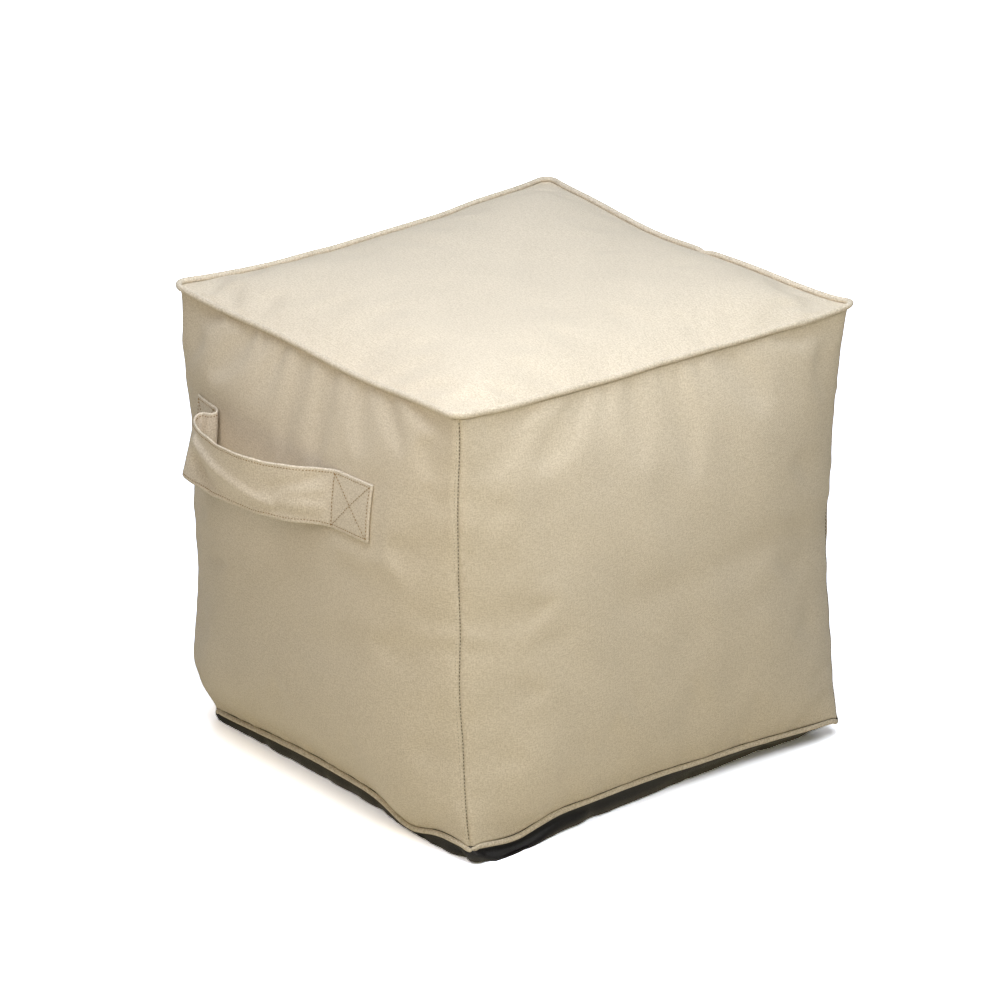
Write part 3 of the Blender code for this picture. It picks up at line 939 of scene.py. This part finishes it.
def strapSurface():
    # the middle surface on a grid, its outward way, and how thick it is there
    route = smoothRoute(strapRoute, strap["steps"])
    stand = np.maximum(route[:, 1], 0)
    even = np.linspace(-1, 1, strap["columns"] + 1)
    across = (1 - strap["evenShare"]) * np.sin(even * math.pi / 2) + strap["evenShare"] * even
    x, c = np.meshgrid(route[:, 0], across, indexing="ij")
    place = strapMiddle(x, np.broadcast_to(stand[:, None], x.shape), route[:, 2][:, None], c)
    way = normalsOf(place)
    row = route[:, 3]
    loop = ramp(row - loopRows["from"], loopRows["fadeIn"]) * ramp(loopRows["to"] - row, loopRows["fadeOut"])
    run = lengthAlong(place[:, strap["columns"] // 2])
    move = np.zeros(x.shape)
    for fromX, fromC, toX, toC, width, depth in strapCreases:
        half = strap["width"] / 2
        near, share = alongLine(x, c * half, [(fromX, fromC * half), (toX, toC * half)], width)
        move += depth * near * np.clip(1.1 - 0.5 * share, 0, 1)
    place = place + way * (move * loop[:, None])[..., None]
    # the edges wave a little where the strap hangs free
    wave = sum(size * np.sin(run * turn + phase) for size, turn, phase in strap["waves"])
    place[..., 2] += (wave * loop)[:, None] * c
    way = normalsOf(place)
    endRound = roundOver(np.minimum(run, run[-1] - run), strap["endRound"])
    fromEdge = (1 - np.abs(c)) * strap["width"] / 2
    edgeRound = roundOver(fromEdge, strap["edgeRound"])
    groove = strap["grooveShare"] * bell(fromEdge - strap["edgeGroove"], strap["grooveWidth"])
    thick = strap["thick"] / 2 * endRound[:, None] * edgeRound * (1 - groove)
    return place, way, thick, run, across, route


def makeStrap():
    place, way, thick, run, across, _ = strapSurface()
    rows, columns = thick.shape
    outer = place + way * thick[..., None]
    inner = place - way * thick[..., None]
    ids = np.arange(rows * columns).reshape(rows, columns)
    innerIds = ids + rows * columns
    border = np.zeros(ids.shape, bool)
    border[[0, -1]] = True
    border[:, [0, -1]] = True
    innerIds = np.where(border, ids, innerIds)
    quads = np.concatenate([facesOf(ids), facesOf(innerIds)[:, ::-1]])
    places = np.concatenate([outer.reshape(-1, 3), inner.reshape(-1, 3)])
    used, back = np.unique(quads, return_inverse=True)
    flat = np.stack(np.broadcast_arrays(run[:, None], across[None] * strap["width"] / 2), -1).reshape(-1, 2)
    uvs = np.tile(flat, (2, 1))[quads].reshape(-1, 2)
    return meshOf("carryStrap", places[used], back.reshape(quads.shape), uvs)


# sewing threads, and dark dots that paint the shade of the needle holes

stitching = {
    # pitch, length, radius of the thread, seed
    "seamStitches": (0.0032, 0.0022, 0.00040, 2),
    # dark dots at the needle holes: painted shade of the holes
    "needleHoleShade": (0.0032, 0.0009, 0.00017, 4),
    "strapStitches": (0.0028, 0.0019, 0.00040, 6),
    # in from an upright seam, out of the cloth
    "seamAt": (0.0003, 0.00040),
    "needleAt": (0.0026, 0.00002),
    "seamRun": (-0.955, 0.975, 140),       # from, to, places
    "edgeStand": 0.00012,
    "boxStand": 0.00018,
    "boxRun": (0.02, 0.98, 24),
    "boxes": ((-0.152, -0.1225), (0.0585, 0.1030)),
}


def seamRoute(u, v, inwards, raised):
    # beside an upright seam: on the panel to its left as seen from outside
    face = {(1, -1): "front", (1, 1): "right", (-1, 1): "back", (-1, -1): "left"}[(u, v)]
    b = np.linspace(*stitching["seamRun"])
    a = np.full_like(b, 1 - inwards / pouf["half"])
    place = cover(*faceUvw(face, a, b))
    grid = np.stack([cover(*faceUvw(face, a - 0.004, b)), place])
    groove = filledSides["grooveDepth"] * lift(np.array(inwards), filledSides["grooveWidth"])
    return place + normalsOf(grid)[1] * (raised - groove)


def strapRows(side):
    place, way, thick, _, across, route = strapSurface()
    at = 1 - strap["edgeGroove"] / (strap["width"] / 2)
    rows = []
    for share in (-at, at):
        column = int(np.argmin(np.abs(across - share)))
        row = (place + side * way * (thick[..., None] + stitching["edgeStand"]))[:, column]
        keep = slice(3, -3) if side > 0 else (route[:, 3] > 3) & (route[:, 3] < 13.5)
        rows.append(row[keep])
    return rows


def boxRoutes():
    # the box and cross that sew each end down
    routes = []
    edge = 1 - strap["edgeGroove"] / (strap["width"] / 2)
    landing = np.array(strapRoute[13:16])     # where the loop comes down on the right
    for left, right in stitching["boxes"]:
        for (fromX, fromC), (toX, toC) in (
            ((left, -edge), (left, edge)), ((right, -edge), (right, edge)),
            ((left, -edge), (right, edge)), ((left, edge), (right, -edge)),
        ):
            t = np.linspace(*stitching["boxRun"])
            x = fromX + (toX - fromX) * t
            stand = np.interp(x, landing[:, 0], landing[:, 1]) * (x > 0)
            place = strapMiddle(x, stand, np.zeros_like(x), fromC + (toC - fromC) * t)
            place[:, 1] -= strap["thick"] / 2 + stitching["boxStand"]
            routes.append(place)
    return routes


def sew(name, routes, tree, finish):
    pitch, length, thread, seed = stitching[name]
    return grow(pathObject(name, routes), tree, {
        "Pitch": pitch, "Stitch Length": length, "Thread Radius": thread, "Seed": seed, "Material": finish,
    })


# finishes

# the cover's cloth: a fine satin twill of polyester, heathered by its uneven threads
coverCloth = {
    "light": (0.785, 0.692, 0.554), "dark": (0.610, 0.520, 0.390),
    "threadPitch": 0.00058, "slubLength": 0.0060, "slubWidth": 0.00110,
    "weaveDepth": 0.00010, "slubDepth": 0.00016, "roughness": (0.56, 0.72),
    "sheen": 0.25, "sheenTint": (1.0, 0.96, 0.88), "specular": 0.35, "blotch": 0.06,
}
cordCloth = dict(coverCloth, light=(0.780, 0.690, 0.555), dark=(0.570, 0.485, 0.365), slubLength=0.0035)
strapCloth = dict(coverCloth, light=(0.810, 0.720, 0.590), dark=(0.610, 0.520, 0.400), slubLength=0.0040)
baseCloth = {
    "light": (0.012, 0.011, 0.013), "dark": (0.005, 0.005, 0.006),
    "threadPitch": 0.00045, "slubLength": 0.0030, "slubWidth": 0.00060,
    "weaveDepth": 0.00008, "slubDepth": 0.00008, "roughness": (0.36, 0.50),
    "sheen": 0.0, "sheenTint": (1.0, 1.0, 1.0), "specular": 0.5, "blotch": 0.20,
}
threads = {
    # the seam thread is darker than the strap's: partly its own colour, partly painted shade of the groove
    # and stitch holes it lies in
    "seam": {"light": (0.150, 0.115, 0.068), "dark": (0.080, 0.060, 0.035), "roughness": 0.55},
    "strap": {"light": (0.400, 0.250, 0.105), "dark": (0.230, 0.135, 0.050), "roughness": 0.50},
}


def newMaterial(name):
    made = bpy.data.materials.new(name)
    made.use_nodes = True
    return made, made.node_tree, made.node_tree.nodes["Principled BSDF"]


def stretchedNoise(tree, vector, scale, detail=2.0):
    mapped = addNode(tree, "ShaderNodeMapping", {"Vector": vector, "Scale": scale})
    return addNode(tree, "ShaderNodeTexNoise", {
        "Vector": mapped.outputs[0], "Scale": 1.0, "Detail": detail, "Roughness": 0.55}).outputs["Fac"]


def threadWave(tree, vector, way, pitch):
    # sine ridges across a direction of the cloth
    dot = addNode(tree, "ShaderNodeVectorMath", {
        0: vector, 1: tuple(2 * math.pi / pitch * part for part in way)}, operation="DOT_PRODUCT")
    return mathNode(tree, "SINE", dot.outputs["Value"])


def clothMaterial(name, look, onUv=True):
    made, tree, shader = newMaterial(name)
    if onUv:
        vector = addNode(tree, "ShaderNodeUVMap", uv_map="clothMetres").outputs["UV"]
    else:
        vector = addNode(tree, "ShaderNodeTexCoord").outputs["Object"]
    fine, long = 1 / look["slubWidth"], 1 / look["slubLength"]
    warp = stretchedNoise(tree, vector, (fine, long, fine))
    weft = stretchedNoise(tree, vector, (long, fine, long))
    fleck = stretchedNoise(tree, vector, (0.8 * fine,) * 3, 1.0)
    slubs = mathNode(tree, "MULTIPLY_ADD", mathNode(tree, "ADD", warp, weft), 0.5, 0.0)
    heather = mathNode(tree, "MULTIPLY_ADD", mathNode(tree, "ADD", slubs, fleck), 2.6, -2.1)
    wide = addNode(tree, "ShaderNodeTexNoise", {"Vector": vector, "Scale": 22.0, "Detail": 3.0})
    shade = mathNode(tree, "MULTIPLY_ADD", wide.outputs["Fac"], look["blotch"] * 2, 1 - look["blotch"])
    colour = addNode(tree, "ShaderNodeMix", {
        0: heather, 6: (*look["dark"], 1), 7: (*look["light"], 1)}, data_type="RGBA")
    shaded = addNode(tree, "ShaderNodeVectorMath", {0: colour.outputs[2], "Scale": shade}, operation="SCALE")
    pitch = look["threadPitch"]
    up = threadWave(tree, vector, (1, 0, 0.5), pitch)
    level = threadWave(tree, vector, (0, 1, 0.5), pitch)
    twill = threadWave(tree, vector, (1, 1, 1), pitch * 3)
    weave = mathNode(tree, "MULTIPLY_ADD", twill, 0.6, mathNode(tree, "MULTIPLY", up, level))
    low, high = look["roughness"]
    threadBump = addNode(tree, "ShaderNodeBump", {
        "Height": weave, "Distance": look["weaveDepth"], "Strength": 0.5})
    slubBump = addNode(tree, "ShaderNodeBump", {
        "Height": mathNode(tree, "ADD", slubs, fleck), "Distance": look["slubDepth"], "Strength": 0.6,
        "Normal": threadBump.outputs[0]})
    plug(tree, shader, {
        "Base Color": shaded, "Roughness": mathNode(tree, "MULTIPLY_ADD", slubs, high - low, low),
        "Normal": slubBump, "Sheen Weight": look["sheen"], "Sheen Roughness": 0.45,
        "Sheen Tint": (*look["sheenTint"], 1), "Specular IOR Level": look["specular"],
    })
    return made


def threadMaterial(name, look):
    made, tree, shader = newMaterial(name)
    vector = addNode(tree, "ShaderNodeTexCoord").outputs["Object"]
    twist = addNode(tree, "ShaderNodeTexNoise", {"Vector": vector, "Scale": 1500.0, "Detail": 1.0})
    colour = addNode(tree, "ShaderNodeMix", {
        0: twist.outputs["Fac"], 6: (*look["dark"], 1), 7: (*look["light"], 1)}, data_type="RGBA")
    bump = addNode(tree, "ShaderNodeBump", {
        "Height": twist.outputs["Fac"], "Distance": 0.00006, "Strength": 0.5})
    plug(tree, shader, {
        "Base Color": colour.outputs[2], "Normal": bump, "Roughness": look["roughness"], "Sheen Weight": 0.2,
    })
    return made


# hand sewing: the whole cover is a little uneven, all pieces together

unevenness = {"waves": 12, "longest": 0.230, "shortest": 0.060, "move": 0.0009, "seed": 5, "floorFade": 0.030}


def handSewn(piece):
    rng = random.Random(unevenness["seed"])
    mesh = piece.data
    places = np.zeros(len(mesh.vertices) * 3)
    mesh.vertices.foreach_get("co", places)
    places = places.reshape(-1, 3)
    shift = np.zeros_like(places)
    for number in range(unevenness["waves"]):
        share = number / (unevenness["waves"] - 1)
        wave = unevenness["longest"] * (unevenness["shortest"] / unevenness["longest"]) ** share
        way = np.array([rng.gauss(0, 1) for _ in range(3)])
        push = np.array([rng.gauss(0, 1) for _ in range(3)])
        size = unevenness["move"] * math.sqrt(wave / unevenness["longest"]) / 2
        phase = rng.uniform(0, 2 * math.pi)
        turn = 2 * math.pi / wave * (places @ (way / np.linalg.norm(way))) + phase
        shift += size * np.sin(turn)[:, None] * push
    rise = ramp(places[:, 2:], unevenness["floorFade"])
    places = places + shift * rise * rise
    mesh.vertices.foreach_set("co", places.astype(np.float32).ravel())
    mesh.update()
    return piece


# everything sewn together

clothCover = clothMaterial("coverSatinTwill", coverCloth)
clothCord = clothMaterial("pipingCloth", cordCloth, onUv=False)
clothStrap = clothMaterial("strapCloth", strapCloth)
clothBase = clothMaterial("blackBaseCloth", baseCloth)
# the seam thread material also serves as the painted shade of the needle holes
threadAndHoleShade = threadMaterial("seamThreadAndHoleShade", threads["seam"])
threadStrap = threadMaterial("strapThread", threads["strap"])

sidePanels = makeFilledSides()
sidePanels.data.materials.append(clothCover)
topCloth = makeTopPanel()
topCloth.data.materials.append(clothCover)
underCloth = makeBasePanel()
underCloth.data.materials.append(clothBase)
carryStrap = makeStrap()
carryStrap.data.materials.append(clothStrap)
print("panels and strap made")

cords = cordTree()
topCord = makePiping("topPipingCord", topPiping, cords, clothCord)
baseCord = makePiping("basePipingCord", basePiping, cords, clothCord)

sewing = stitchTree()
uprights = ((1, -1), (1, 1), (-1, 1), (-1, -1))
seamRows, needleRows = (
    [seamRoute(u, v, *stitching[at]) for u, v in uprights] for at in ("seamAt", "needleAt"))
seamStitches = sew("seamStitches", seamRows, sewing, threadAndHoleShade)
# the needle holes' shade, painted as tiny dark dots beside each upright seam
needleHoleShade = sew("needleHoleShade", needleRows, sewing, threadAndHoleShade)
strapStitches = sew("strapStitches", strapRows(1) + strapRows(-1) + boxRoutes(), sewing, threadStrap)

onBody = (sidePanels, topCloth, underCloth, carryStrap, topCord, baseCord, seamStitches, needleHoleShade,
          strapStitches)
for piece in onBody:
    handSewn(piece)
    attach(piece, "root")
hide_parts("pouf_body")
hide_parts("top_panel")
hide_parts("base_panel")
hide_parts("top_piping")
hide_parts("base_piping")
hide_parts("handle_strap")
print("sewn together:", len(onBody), "pieces")


# studio

studio = {
    "floorSize": 60.0,
    "paper": (0.55, 0.55, 0.55),      # what the paper gives back to the cover
    "glow": (0.255, 0.217, 0.123),
    "seenPaper": (2.9, 3.0, 3.3),     # as the camera sees it: burnt out, but for the contact shadow
    "fadeFrom": 0.55,                 # from here outwards the paper fades to plain white
    "fadeTo": 1.30,
    "world": (0.07, 0.07, 0.07),
    # soft boxes: name, place, aims at, width, power, colour
    "lights": [
        ("overheadSoftbox", (0.20, -0.15, 1.60), (0.0, 0.0, 0.30), 1.0, 17.2, (0.86, 0.92, 1.00)),
        ("rightSoftbox", (0.75, 0.05, 0.95), (0.22, 0.05, 0.38), 0.4, 1.40, (1.00, 0.98, 0.85)),
        ("nearRightSoftbox", (0.60, -0.20, 0.75), (0.22, -0.10, 0.38), 0.35, 1.30, (0.94, 0.95, 1.00)),
        ("nearLeftSoftbox", (0.10, -0.70, 0.75), (0.05, -0.24, 0.38), 0.35, 1.30, (1.00, 0.92, 0.86)),
        ("lowSoftbox", (0.95, -0.95, 0.25), (0.20, -0.20, 0.15), 0.4, 2.10, (1.00, 0.90, 0.55)),
        ("backSoftbox", (-1.70, 1.50, 1.30), (0.0, 0.0, 0.25), 1.4, 11.0, (1.00, 1.00, 1.00)),
    ],
}
view = {
    "azimuth": 53.3, "elevation": 22.4, "roll": -1.83, "distance": 4.592,
    "target": (0.0756, -0.0708, 0.2546), "lens": 197.9, "sensor": 36.0,
}


def whitePaper(tree, shader):
    # the sheet reads as white while its bounce stays soft
    seen = addNode(tree, "ShaderNodeBsdfDiffuse", {"Color": (*studio["seenPaper"], 1)})
    place = addNode(tree, "ShaderNodeTexCoord")
    away = addNode(tree, "ShaderNodeVectorMath", {0: place.outputs["Object"]}, operation="LENGTH")
    far = addNode(tree, "ShaderNodeMapRange", {
        "Value": away.outputs["Value"], "From Min": studio["fadeFrom"], "From Max": studio["fadeTo"]})
    glow = addNode(tree, "ShaderNodeEmission", {"Strength": far.outputs[0]})
    bright = addNode(tree, "ShaderNodeAddShader", {0: seen.outputs[0], 1: glow.outputs[0]})
    ray = addNode(tree, "ShaderNodeLightPath")
    both = addNode(tree, "ShaderNodeMixShader", {
        0: ray.outputs["Is Camera Ray"], 1: shader.outputs[0], 2: bright.outputs[0]})
    tree.links.new(both.outputs[0], tree.nodes["Material Output"].inputs["Surface"])


def makeStudio():
    scene = bpy.context.scene
    scene.view_settings.view_transform = "Standard"
    size = studio["floorSize"] / 2
    mesh = bpy.data.meshes.new("studioFloor")
    corners = [(-size, -size, 0), (size, -size, 0), (size, size, 0), (-size, size, 0)]
    mesh.from_pydata(corners, [], [(0, 1, 2, 3)])
    floor = bpy.data.objects.new("studioFloor", mesh)
    scene.collection.objects.link(floor)
    paper, tree, shader = newMaterial("studioPaper")
    plug(tree, shader, {
        "Base Color": (*studio["paper"], 1), "Roughness": 0.9, "Specular IOR Level": 0.1,
        "Emission Color": (*studio["glow"], 1), "Emission Strength": 1.0,
    })
    whitePaper(tree, shader)
    mesh.materials.append(paper)
    world = bpy.data.worlds.new("studioWorld")
    world.use_nodes = True
    world.node_tree.nodes["Background"].inputs["Color"].default_value = (*studio["world"], 1)
    scene.world = world
    for name, place, aim, width, power, colour in studio["lights"]:
        lamp = bpy.data.lights.new(name, "AREA")
        lamp.size = width
        lamp.energy, lamp.color = power, colour
        holder = bpy.data.objects.new(name, lamp)
        holder.location = place
        holder.rotation_euler = (Vector(aim) - Vector(place)).to_track_quat("-Z", "Y").to_euler()
        scene.collection.objects.link(holder)


def makeCamera():
    turn, rise, roll = (math.radians(view[key]) for key in ("azimuth", "elevation", "roll"))
    back = Vector((math.sin(turn) * math.cos(rise), -math.cos(turn) * math.cos(rise), math.sin(rise)))
    right = Vector((math.cos(turn), math.sin(turn), 0))
    up = back.cross(right)
    right, up = (math.cos(roll) * right + math.sin(roll) * up, math.cos(roll) * up - math.sin(roll) * right)
    eye = Vector(view["target"]) + view["distance"] * back
    data = bpy.data.cameras.new("studioCamera")
    data.lens = view["lens"]
    data.sensor_width = view["sensor"]
    holder = bpy.data.objects.new("studioCamera", data)
    holder.matrix_world = Matrix((
        (right.x, up.x, back.x, eye.x), (right.y, up.y, back.y, eye.y),
        (right.z, up.z, back.z, eye.z), (0, 0, 0, 1),
    ))
    bpy.context.scene.collection.objects.link(holder)
    bpy.context.scene.camera = holder


makeStudio()
makeCamera()
print("studio ready")
